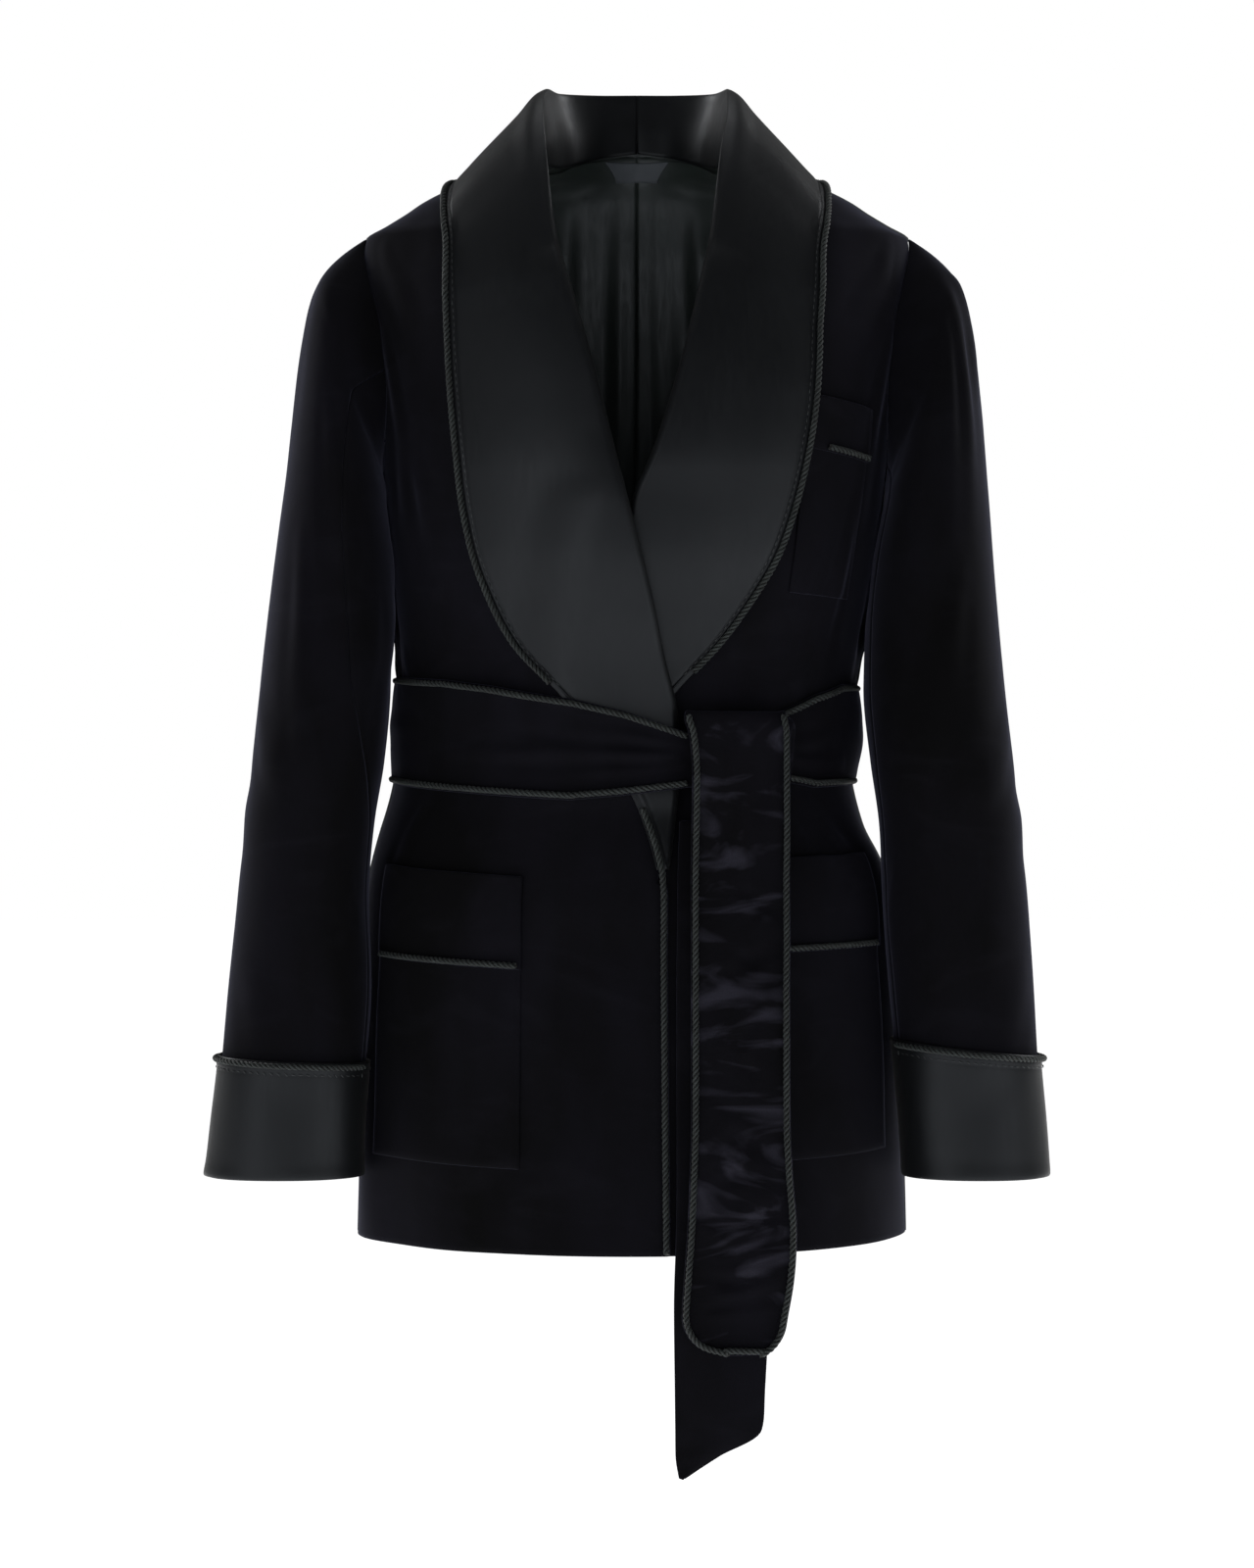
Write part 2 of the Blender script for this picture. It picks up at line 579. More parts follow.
def bodyPanels():
    grids = {}
    chestTop, shoulder, neck = bodyCut["shoulder"]
    low, middle, top = bodyCut["rows"]
    frontLevels = np.concatenate([np.linspace(bodyCut["hem"], chestTop, low),
                                  np.linspace(shoulder, neck, middle)])
    side = sideLimit(frontLevels)
    right = panelGrid(frontLevels, -side, foldEdge(overEdgeX, frontLevels, -1), rightRise)
    grids["front_right"] = withAllowance(right, frontLevels, -side, -1, False, rightRise)
    left = panelGrid(frontLevels, foldEdge(underEdgeX, frontLevels, 1), side, bodySway)
    grids["front_left"] = withAllowance(left, frontLevels, side, 1, True, bodySway)
    levels = np.concatenate([frontLevels, np.linspace(neck / 2, bodyCut["neckTop"], top)])
    near = 180 - backLimit(levels)
    for name, sign in bothSides:
        grid = backGrid(levels, near, sign, bodyCut["seam"], bodySway)
        grids["back_" + name] = withAllowance(grid, levels, sign * near, -sign, sign < 0, bodySway)
    return grids


def makeLining(name, sign):
    drop = liningShape["drop"]
    levels = np.linspace(liningShape["hem"], bodyCut["neckTop"] - drop - 0.6, liningShape["rows"])
    rise = np.where(levels > neckline["z"][0] - drop, drop, 0)
    near = 180 - backLimit(levels + rise) + 1.5

    def liningOut(turn, z):
        away = np.abs(bareBody(turn, z)[..., 0] - bodyCurve["shift"](z))
        ripple = (np.sin(away * 0.17 + 0.7 * np.sin(z * 0.016 + sign))
                  + 0.45 * np.sin(away * 0.31 + z * 0.009 + sign)
                  + 0.5 * np.sin(z * 0.032 + away * 0.05 + sign))
        loose = ease((away - 1) / 14) * (1 - ease((z + 55) / 60) * 0.8)
        seam = liningShape["seam"] * bulge(away, 0, liningShape["seamWide"])
        base = -bodyCut["velvet"] - bodyCut["layerGap"] - bodyCut["behind"]
        return (base + bodySway(turn, z) + seam
                + loose * (ripple * liningShape["ripple"] - liningShape["loose"]))
    grid = backGrid(levels, near, sign, 0.02, liningOut)
    makeCloth("lining_" + name, "lining", grid, liningShape["cloth"], [liningSatin], "panel", "hung",
              ["back_" + name])


bodyGrids = bodyPanels()
for name, grid in bodyGrids.items():
    sides = {"front_right": (True, False), "front_left": (False, True)}.get(name, (True, True))
    makeCloth(name, "velvet", seamDip(grid, sides=sides), bodyCut["velvet"], [velvet, liningSatin], "panel",
              "hung", ["front_left" if name == "front_right" else "back_left"], grid)
for name, sign in bothSides:
    makeLining(name, sign)
print("body panels and lining made")

# Sleeves: outer and inner edges seen from the front, the middle's depth and half depth, seam places
sleeveShape = {
    "right": {
        "outX": (203, 212.5, 220, 226, 232, 239, 245.5, 251.5, 255.5, 260, 266, 271, 275.5, 278.5),
        "inX": (164, 163, 161.5, 160, 157.5, 156, 160, 164, 170, 173, 171.5, 176, 178, 178.5),
        "seam": (96, 96, 96, 96, 97, 104, 116, 140, 163, 168, 168, 168, 168, 168),
    },
    "left": {
        "outX": (211, 222, 229, 234, 237.5, 241, 246, 252.5, 256.5, 260.5, 264.5, 267.5, 270, 271.5),
        "inX": (170, 169, 166.5, 163.5, 159.5, 155, 153.5, 158, 163, 164.5, 169, 175, 178.5, 180),
        "seam": (150, 150, 150, 152, 155, 158, 160, 162, 164, 165, 165, 165, 165, 165),
    },
    "outZ": (-69, -87, -120, -165, -222, -285, -345, -405, -450, -500, -555, -610, -650, -672),
    "inZ": (-219, -224, -232, -246, -270, -308, -352, -400, -442, -492, -548, -606, -648, -672),
    "midY": (0, -2, -5, -9, -15, -24, -34, -42, -46, -50, -54, -57, -59, -60),
    "deep": (54, 61, 65, 67, 66, 63, 60, 57, 54, 50, 46, 42, 40, 39),
    "square": 0.9, "backSeam": 235, "seamGap": 0.35, "rings": 150, "crowd": 1.15, "around": 128,
    "columns": {"upper": 96, "under": 60}, "velvet": 1.6, "head": 1.7, "tableStep": 32,
}
# Folds on the sleeves: three points (place round, ring of the table), width and height of each
sleeveFolds = {
    "right": (((60, 4.5), (75, 6), (100, 7.5), 9, 1.8), ((20, 6.2), (45, 6.8), (80, 7.1), 8, 1.4),
              ((-30, 7.2), (0, 7.6), (40, 7.9), 9, 1.2), ((80, 2.2), (95, 3.6), (120, 5.0), 9, 1.6),
              ((200, 5.2), (225, 6.4), (262, 7.2), 11, 1.8), ((110, 8.4), (140, 9.2), (170, 9.6), 9, 1.2),
              ((150, 4.2), (165, 5.6), (160, 7.0), 9, 1.5), ((300, 1.6), (290, 3.4), (280, 5.2), 12, 1.6),
              ((40, 9.6), (70, 10.4), (110, 10.9), 10, 1.0), ((0, 0.6), (10, 1.8), (12, 3.2), 9, 1.0)),
    "left": (((20, -0.4), (24, 1.2), (26, 2.6), 5.5, 2.0), ((42, -0.2), (50, 2.0), (54, 4.0), 6, 1.9),
             ((62, 0.2), (74, 2.4), (84, 4.4), 8, 1.4), ((70, 4.8), (92, 6.2), (120, 7.3), 10, 1.8),
             ((20, 6.4), (50, 7.1), (85, 7.5), 8, 1.3), ((-20, 7.4), (10, 7.8), (50, 8.2), 9, 1.1),
             ((200, 5.2), (225, 6.4), (262, 7.2), 11, 1.8), ((120, 8.2), (145, 9.0), (170, 9.6), 9, 1.2),
             ((300, 1.6), (290, 3.4), (280, 5.2), 12, 1.6), ((35, 9.8), (70, 10.5), (105, 11.0), 10, 1.0)),
}


def armholeRing(places, sign):
    low, high = armhole["z"][0], armhole["z"][-1]
    z = (low + high) / 2 + (high - low) / 2 * np.cos(np.radians(places))
    turn = armholeTurn(z)
    turn = np.where(places % 360 > 180, 180 - turn, turn) * sign
    return onBody(turn, z, bodySway(turn, z)) + np.array((sign * 0.5, 0, 0))


def clearOfBody(ring, sign, room):
    z = np.minimum(ring[..., 2], armhole["z"][0])
    depth = np.where(ring[..., 1] < 0, bodyCurve["front"](z), bodyCurve["back"](z))
    inside = np.sqrt(np.clip(1 - (ring[..., 1] / depth) ** 2, 0, 1))
    limit = sign * bodyCurve["shift"](z) + bodyCurve["half"](z) * inside + room
    beside = np.abs(ring[..., 1]) < depth
    ring[..., 0] = np.where(beside, sign * np.maximum(sign * ring[..., 0], limit), ring[..., 0])
    return ring


def rounded(values):
    return np.sign(values) * np.abs(values) ** sleeveShape["square"]


def sleeveSurface(side, sign, places, ks):
    rings = [armholeRing(places, sign)]
    across, ahead = rounded(np.cos(np.radians(places))), rounded(np.sin(np.radians(places)))
    columns = [sleeveShape[side]["outX"], sleeveShape[side]["inX"]]
    columns += [sleeveShape[name] for name in ("outZ", "inZ", "midY", "deep")]
    for outX, inX, outZ, inZ, midY, deep in zip(*columns):
        x = (outX + inX) / 2 + (outX - inX) / 2 * across
        z = (outZ + inZ) / 2 + (outZ - inZ) / 2 * across
        ring = point(sign * x, midY - deep * ahead, z)
        rings.append(clearOfBody(ring, sign, np.where(z > -230, 1.5, 2.5)))
    surface = smoothCurve(np.arange(-1, len(rings) - 1), np.array(rings))(ks)
    centre = surface.mean(axis=1, keepdims=True)
    normals = unit(np.cross(np.roll(surface, -1, axis=1) - np.roll(surface, 1, axis=1),
                            np.gradient(surface, axis=0)))
    normals *= np.sign(np.median(np.sum(normals * (surface - centre), axis=2)))
    return surface, normals


# A line's three points with one of their measures scaled
def scaledLines(lines, wide, tall):
    return [(*((x * wide, y * tall) for x, y in line[:3]), *line[3:]) for line in lines]


def sleeveSway(side, places, ks):
    at = np.where(places > 300, places - 360, places)
    step = sleeveShape["tableStep"]
    folds = (ridges(at, ks * step, scaledLines(sleeveFolds[side], 1, step))
             + 0.9 * np.sin(np.radians(places) * 3 + ks * 0.9) * np.sin(ks * 0.8 + 0.5))
    calm = ease((ks + 0.6) / 1.4) * ease((12.2 - ks) / 1.5)
    head = sleeveShape["head"] * bulge(ks, -0.7, 0.6) * turnShare(places)
    return folds * calm + head


# Values of each ring, sampled at the wanted places round the sleeve
def ringColumns(places, values, wanted):
    f = (wanted % 360) / (360 / len(places))
    j = np.floor(f).astype(int) % len(places)
    s = (f - np.floor(f))[..., None]
    rows = np.arange(len(values))[:, None]
    return values[rows, j] * (1 - s) + values[rows, (j + 1) % len(places)] * s


def makeSleeve(side, sign):
    places = np.arange(sleeveShape["around"]) * 360 / sleeveShape["around"]
    ks = -1 + 14 * np.linspace(0, 1, sleeveShape["rings"]) ** sleeveShape["crowd"]
    surface, normals = sleeveSurface(side, sign, places, ks)
    sway = sleeveSway(side, places[None, :], ks[:, None])
    inner = ease((-0.1 - np.cos(np.radians(places))) / 0.4)[None, :]  # beside the body the cloth lies still
    sway = sway * (1 - inner) + np.minimum(sway, 0.3) * inner
    surface = surface + normals * sway[..., None]
    seam = np.interp(ks, range(14), sleeveShape[side]["seam"])
    back = sleeveShape["backSeam"] + 0 * seam
    gap = sleeveShape["seamGap"]
    for part, start, end in (("upper", back - 360, seam), ("under", seam, back)):
        share = spread(sleeveShape["columns"][part], 0.6)
        wanted = (start + gap)[:, None] * (1 - share) + (end - gap)[:, None] * share
        grid = ringColumns(places, surface, wanted)
        way = facing(grid, ringColumns(places, normals, wanted))
        makeCloth("sleeve_" + part + "_" + side, "velvet", seamDip(grid, way, 2.5, 0.45),
                  sleeveShape["velvet"], [velvet, liningSatin], "panel", "hung",
                  ["front_" + side, "back_" + side], grid, way=way)
    return places, surface, normals


sleeves = {side: makeSleeve(side, sign) for side, sign in bothSides}
print("sleeves made")


# Twisted rope: three strands wound round a path, made with geometry nodes
ropeLook = {"width": 4.2, "strands": 3, "turn": 10.8, "step": 0.75, "sides": 6, "fit": 2.155}
ropeRadius = ropeLook["width"] / 2
strandRadius = ropeRadius / ropeLook["fit"]
ropeSizes = {"strandRadius": strandRadius, "offset": strandRadius * (ropeLook["fit"] - 1),
             "turn": ropeLook["turn"], "step": ropeLook["step"]}
# Hand stitches: one short raised stitch, laid along a path at even steps
stitchLook = {"length": 3.0, "every": 4.9, "thick": 0.65}


def newNodes(name, sizes):
    tree = bpy.data.node_groups.new(name, "GeometryNodeTree")
    for way in ("INPUT", "OUTPUT"):
        tree.interface.new_socket("Geometry", in_out=way, socket_type="NodeSocketGeometry")
    for label in sizes:
        tree.interface.new_socket(label, in_out="INPUT", socket_type="NodeSocketFloat")
    return tree, addNode(tree, "NodeGroupInput").outputs


def keepValue(tree, geometry, name, value, kind="FLOAT"):
    sockets = {"Geometry": geometry, "Name": name, "Value": value}
    made = addNode(tree, "GeometryNodeStoreNamedAttribute", sockets, data_type=kind, domain="POINT")
    return made.outputs[0]


def finishNodes(tree, geometry, material):
    real = addNode(tree, "GeometryNodeRealizeInstances", {0: geometry}).outputs[0]
    dressed = addNode(tree, "GeometryNodeSetMaterial", {"Geometry": real, "Material": material}).outputs[0]
    addNode(tree, "NodeGroupOutput", {0: dressed})
    return tree


def ropeNodes(strand):
    tree, given = newNodes("ropeStrand" + str(strand), ropeSizes)
    sockets = {"Curve": given["Geometry"], "Length": given["step"]}
    even = addNode(tree, "GeometryNodeResampleCurve", sockets, mode="LENGTH").outputs[0]
    along = addNode(tree, "GeometryNodeSplineParameter").outputs["Length"]
    turns = addNode(tree, "ShaderNodeMath", {0: along, 1: given["turn"]}, operation="DIVIDE").outputs[0]
    start = math.tau * strand / ropeLook["strands"]
    angle = addNode(tree, "ShaderNodeMath", {0: turns, 1: math.tau, 2: start}, operation="MULTIPLY_ADD")
    ahead, aside, place = (addNode(tree, "GeometryNodeInput" + kind).outputs[0]
                           for kind in ("Tangent", "Normal", "Position"))
    sockets = {"Vector": aside, "Axis": ahead, "Angle": angle.outputs[0]}
    turned = addNode(tree, "ShaderNodeVectorRotate", sockets, rotation_type="AXIS_ANGLE")
    sockets = {0: turned.outputs[0], "Scale": given["offset"]}
    scaled = addNode(tree, "ShaderNodeVectorMath", sockets, operation="SCALE")
    onAxis = keepValue(tree, even, "ropeAxis", place, "FLOAT_VECTOR")
    moved = addNode(tree, "GeometryNodeSetPosition", {"Geometry": onAxis, "Offset": scaled.outputs[0]})
    route = keepValue(tree, moved.outputs[0], "strandAlong", along)
    sockets = {"Resolution": ropeLook["sides"], "Radius": given["strandRadius"]}
    circle = addNode(tree, "GeometryNodeCurvePrimitiveCircle", sockets, mode="RADIUS")
    factor = addNode(tree, "GeometryNodeSplineParameter").outputs["Factor"]
    profile = keepValue(tree, circle.outputs[0], "strandAround", factor)
    sockets = {"Curve": route, "Profile Curve": profile, "Fill Caps": True}
    tube = addNode(tree, "GeometryNodeCurveToMesh", sockets)
    axis = addNode(tree, "GeometryNodeInputNamedAttribute", {"Name": "ropeAxis"}, data_type="FLOAT_VECTOR")
    lift = addNode(tree, "ShaderNodeVectorMath", {0: place, 1: axis.outputs[0]}, operation="DISTANCE")
    lifted = keepValue(tree, tube.outputs[0], "strandLift", lift.outputs["Value"])
    smooth = addNode(tree, "GeometryNodeSetShadeSmooth", {"Geometry": lifted})
    return finishNodes(tree, smooth.outputs[0], braidYarn)


def stitchNodes():
    tree, given = newNodes("stitchRow", stitchLook)
    sockets = {"Curve": given["Geometry"], "Length": given["every"]}
    spots = addNode(tree, "GeometryNodeCurveToPoints", sockets, mode="LENGTH").outputs
    stitch = addNode(tree, "GeometryNodeMeshUVSphere", {"Segments": 6, "Rings": 5, "Radius": 0.5})
    sockets = {"X": given["thick"], "Y": given["thick"], "Z": given["length"]}
    size = addNode(tree, "ShaderNodeCombineXYZ", sockets)
    sockets = {"Points": spots["Points"], "Instance": stitch.outputs["Mesh"],
               "Rotation": spots["Rotation"], "Scale": size.outputs[0]}
    laid = addNode(tree, "GeometryNodeInstanceOnPoints", sockets)
    return finishNodes(tree, laid.outputs[0], threadYarn)


ropeTrees = [ropeNodes(strand) for strand in range(ropeLook["strands"])]
stitchTree = stitchNodes()


# What a node tree makes along a path, kept as a plain mesh
def meshAlong(name, path, tree, sizes):
    curve = bpy.data.curves.new(name + "Path", "CURVE")
    curve.dimensions = "3D"
    spline = curve.splines.new("POLY")
    spline.points.add(len(path) - 1)
    flat = np.concatenate([np.asarray(path) * mm, np.ones((len(path), 1))], axis=1)
    spline.points.foreach_set("co", flat.ravel())
    carrier = linked(name + "Path", curve)
    modifier = carrier.modifiers.new("trim", "NODES")
    modifier.node_group = tree
    for socket in tree.interface.items_tree:
        if socket.name in sizes:
            modifier[socket.identifier] = sizes[socket.name] * mm
    shown = carrier.evaluated_get(bpy.context.evaluated_depsgraph_get())
    mesh = bpy.data.meshes.new_from_object(shown)
    bpy.data.objects.remove(carrier)
    return mesh


def joinMeshes(name, meshes):
    work = bmesh.new()
    for mesh in meshes:
        work.from_mesh(mesh)
    joined = bpy.data.meshes.new(name)
    work.to_mesh(joined)
    work.free()
    for each in meshes[0].materials:
        joined.materials.append(each)
    joined.shade_smooth()
    return linked(name, joined)


def makeRope(node, path):
    made = joinMeshes(node + ".rope", [meshAlong(node, path, tree, ropeSizes) for tree in ropeTrees])
    declareRide(made, node)


def makeStitches(name, path):
    made = joinMeshes(name, [meshAlong(name, path, stitchTree, stitchLook)])
    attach(made, "root")


# Satin collar: sections from the centre back round the neck, then lapels laid over the fronts
collarShape = {
    "satin": 1.3, "gap": 1.1, "standBow": 2.2, "edgeRise": 0.5, "across": 64, "edgeDense": (0.45, 26),
    "neckRows": 90, "lapelRows": 130, "fallPoints": 4.0, "stitchIn": 6.6, "ridgeIn": 5.6, "ridge": 0.55,
    "ridgeWide": 0.9, "seam": 0.35, "dimple": 0.35, "split": 0.2, "braidEnd": {"right": -352, "left": -345},
}
collarRest = collarShape["gap"] + collarShape["satin"] / 2
collarBack = {
    "roll": ((2.5, 63, 59.5), (28, 58, 58.5), (52, 40, 56), (61.5, 5, 52.5)),
    "edge": ((180, -11), (143, -12), (118, -13), (90, -15.3)),
    "foot": ((0, 55, 18.6), (24.5, 48.3, 14), (41, 31, 6.5), (52, 8.5, 0.5)),
    "bow": (7, 7, 5, 1.5),
}
collarSide = {
    "right": {"roll": ((-60, -28, 32), (-57.6, -50, 5)), "edge": ((-125, -37), (-122, -62)),
              "foot": ((-62, -22, -5), (-65, -42, -26)), "bow": (1.5, 2)},
    "left": {"roll": ((64, -28, 32), (59.4, -50, 5)), "edge": ((130, -37), (126, -62)),
             "foot": ((68, -22, -5), (70, -42, -26)), "bow": (1.5, 2)},
}
lapels = {
    "right": {
        "rollX": (-48, -28.6, -12.7, -2, 12.4, 19, 28, 28, 25, 22.8),
        "rollZ": (-65, -132, -196, -237, -296, -330, -375, -422, -455, -471),
        "edgeX": (-121.5, -118.6, -114, -109, -97, -79, -42.5, -0.2, 11.5, 15.5),
        "edgeZ": (-100, -150, -198, -239, -284, -321, -360, -425, -457, -472),
        "puff": (3.5, 3.5, 3, 2.5, 2, 1.2, 0.3, 0.2, 0.3, 0.1),
    },
    "left": {
        "rollX": (50, 34.6, 15, 0, -13, -20, -28, -28),
        "rollZ": (-65, -132, -198, -235, -296, -335, -372, -392),
        "edgeX": (124, 119, 111.7, 101, 85, 60, 28, 5),
        "edgeZ": (-97, -150, -201, -245, -283, -321, -356, -385),
        "puff": (3.5, 3.5, 2, 0.1, 0, 0, 0, 0),
    },
}
chestLift = {"z": (-352, -298, -166, -116), "lift": (0, 4.2, 4.2, 0), "near": 56, "far": 112}
chestLiftAt = smoothCurve(chestLift["z"], chestLift["lift"])


def freeSection(edge, roll, foot, bow):
    rise = roll - edge
    up = unit(rise)
    down = unit(foot - roll)
    out = unit((edge - foot) - up * (edge - foot).dot(up))
    return [edge, edge + rise * 0.35 + out * bow, edge + rise * 0.72 + out * bow * 1.15,
            roll - up * 5 + out * 2.2, roll, roll + down * 5 - out * 0.6,
            roll + (foot - roll) * 0.55 - out * collarShape["standBow"], foot]


def lapelSection(edge, roll, puff):
    edge, roll = np.array(edge, float), np.array(roll, float)
    length = np.linalg.norm(edge - roll)
    back = (edge - roll) / length
    top = collarRest
    inside = -bodyCut["velvet"] - top
    step, reach = min(4.0, length * 0.3), min(14.0, length * 0.6)
    rise = top + collarShape["edgeRise"]
    spots = ((length, rise), (step + (length - step) * 0.65, rise + 0.4 * puff),
             (step + (length - step) * 0.25, top + puff), (step, top + 0.9 * puff),
             (0, (top + inside) / 2 + 0.4 * puff), (step, inside), ((step + reach) / 2, inside),
             (reach, inside))
    return np.array([(*(roll + back * distance), out) for distance, out in spots])


def through(points, count=None, at=None):
    points = np.asarray(points, float)
    flat = points.reshape(len(points), -1)
    gaps = np.linalg.norm(np.diff(flat, axis=0), axis=1) / math.sqrt(flat.shape[1] / 3)
    along = np.concatenate(([0], np.cumsum(np.maximum(gaps, 1e-6) ** 0.8)))
    places = np.linspace(0, along[-1], count) if at is None else np.interp(at, range(len(along)), along)
    return smoothCurve(along, flat)(places).reshape((len(places),) + points.shape[1:])


def gridTree(grid):
    rows, columns = grid.shape[:2]
    index = np.arange(rows * columns).reshape(rows, columns)
    faces = np.stack([index[:-1, :-1], index[:-1, 1:], index[1:, 1:], index[1:, :-1]], axis=-1).reshape(-1, 4)
    return BVHTree.FromPolygons(grid.reshape(-1, 3).tolist(), faces.tolist())


# A point of the collar is moved until it lies clear over the panel under it
def keepClear(trees, place, rest):
    for tree in trees:
        found, normal, _, gap = tree.find_nearest(Vector(place))
        if gap > 3 * rest:
            continue
        found, normal = np.array(found), np.array(normal)
        if normal.dot(found - np.array((0, 0, found[2] - 30))) < 0:
            normal = -normal
        above = (place - found).dot(normal)
        aside = np.linalg.norm(place - found - normal * above)
        if aside < 2.5 and above < rest:
            place = found + normal * rest
    return place


def collarGrid(side, sign, trees):
    lapel = lapels[side]
    dense, count = collarShape["edgeDense"]
    across = np.concatenate([np.linspace(0, dense, count), np.linspace(dense, 7, collarShape["across"])[1:]])
    flat = [through(lapelSection((ex, ez), (rx, rz), puff), at=across) for rx, rz, ex, ez, puff
            in zip(*(lapel[name] for name in ("rollX", "rollZ", "edgeX", "edgeZ", "puff")))]
    x, z, out = np.moveaxis(through(flat, collarShape["lapelRows"]), -1, 0)
    if side == "right":
        lift = lapRise(x, z)
    else:
        lift = chestLiftAt(z) * ease((x - chestLift["near"]) / (chestLift["far"] - chestLift["near"]))
    turn = turnAt(x, z)
    laid = onBody(turn, z, lift + out + np.maximum(bodySway(turn, z), 0) * 0.7)
    middle = float(bodyCurve["shift"](0))
    backSeam = middle + sign * collarShape["split"]
    sections = []
    names = ("roll", "edge", "foot", "bow")
    for roll, (place, level), foot, bow in zip(*(collarBack[name] for name in names)):
        edge = onBody(sign * place, level, collarRest)
        roll, foot = (np.array(each, float) * (sign, 1, 1) + (middle, 0, 0) for each in (roll, foot))
        if not sections:
            edge[0] = roll[0] = foot[0] = backSeam
        sections.append(freeSection(edge, roll, foot, bow))
    for roll, edge, foot, bow in zip(*(collarSide[side][name] for name in names)):
        roll, foot = (np.array(each, float) for each in (roll, foot))
        sections.append(freeSection(onFront(*edge, collarRest), roll, foot, bow))
    free = [through(section, at=across) for section in sections]
    free = through(free + [laid[0], laid[collarShape["lapelRows"] // 8]], collarShape["neckRows"])
    free = free[:int(np.argmin([np.abs(line - laid[0]).max() for line in free]))]
    falling = np.flatnonzero(across < collarShape["fallPoints"] - 0.6)
    for line in free:
        for j in falling:
            line[j] = keepClear(trees, line[j], collarRest + 0.7)
    grid = np.concatenate([free, laid])
    grid[0, :, 0] = backSeam
    return grid, across


def makeCollar(side, sign, trees):
    grid, across = collarGrid(side, sign, trees)
    normal = gridNormals(grid) * sign
    normal[0, :, 0] = 0
    normal = unit(normal)
    inEdge, along = arcLengths(grid, 1), arcLengths(grid, 0)[:, :1]
    ridgeIn, stitchIn, satinHalf = collarShape["ridgeIn"], collarShape["stitchIn"], collarShape["satin"] / 2
    soft = 0.3 * np.sin(along * 0.017 + inEdge * 0.02 + sign) + 0.16 * np.sin(along * 0.037 - inEdge * 0.03)
    ridge = collarShape["ridge"] * bulge(inEdge, ridgeIn, collarShape["ridgeWide"])
    seam = collarShape["seam"] * bulge(inEdge, ridgeIn + 1.7, 0.7)
    dimple = (collarShape["dimple"] * bulge(inEdge, stitchIn + 1.4, 1.2)
              * (0.5 + 0.5 * np.cos(along * math.tau / stitchLook["every"])))
    falling = across[None, :] < collarShape["fallPoints"] - 0.1
    shaped = grid + normal * ((soft * ease(inEdge / 25) + ridge - seam - dimple) * falling)[..., None]
    outer = shaped + normal * satinHalf
    makeCloth("collar_" + side, "satin", outer, collarShape["satin"], [satin], "panel", "folded",
              ["front_" + side, "back_" + side], grid, way=sign, normals=gridNormals(shaped) * sign)
    inward = unit(grid[:, 6] - grid[:, 0])
    path = grid[:, 0] + inward * ropeRadius * 0.7 + normal[:, 0] * (satinHalf + ropeRadius * 0.5)
    kept = np.flatnonzero((path[:, 2] > collarShape["braidEnd"][side]) | (path[:, 1] > 0))
    path = path[kept]
    path[0] += (sign * 0.9, 0, 0)
    makeRope("braid_collar_" + side, path)
    j = np.argmin(np.abs(inEdge[kept] - stitchIn), axis=1)
    makeStitches("stitches_collar_" + side, outer[kept, j] + normal[kept, j] * 0.05)


bodyTrees = [gridTree(grid) for grid in bodyGrids.values()]
for side, sign in bothSides:
    makeCollar(side, sign, bodyTrees)
print("collar made")

# Turned-back satin cuffs
cuffShape = {"low": -675, "top": -591, "slant": {"right": 9, "left": -6}, "out": 2.3, "satin": 1.3,
             "ropeEnds": (-128, 158), "ropePoints": 200, "rows": 44, "columns": 160, "ridgeIn": (5.6, 7.4),
             "roll": 1.2, "ropeBelow": 2.5, "stitchBelow": 7.9}


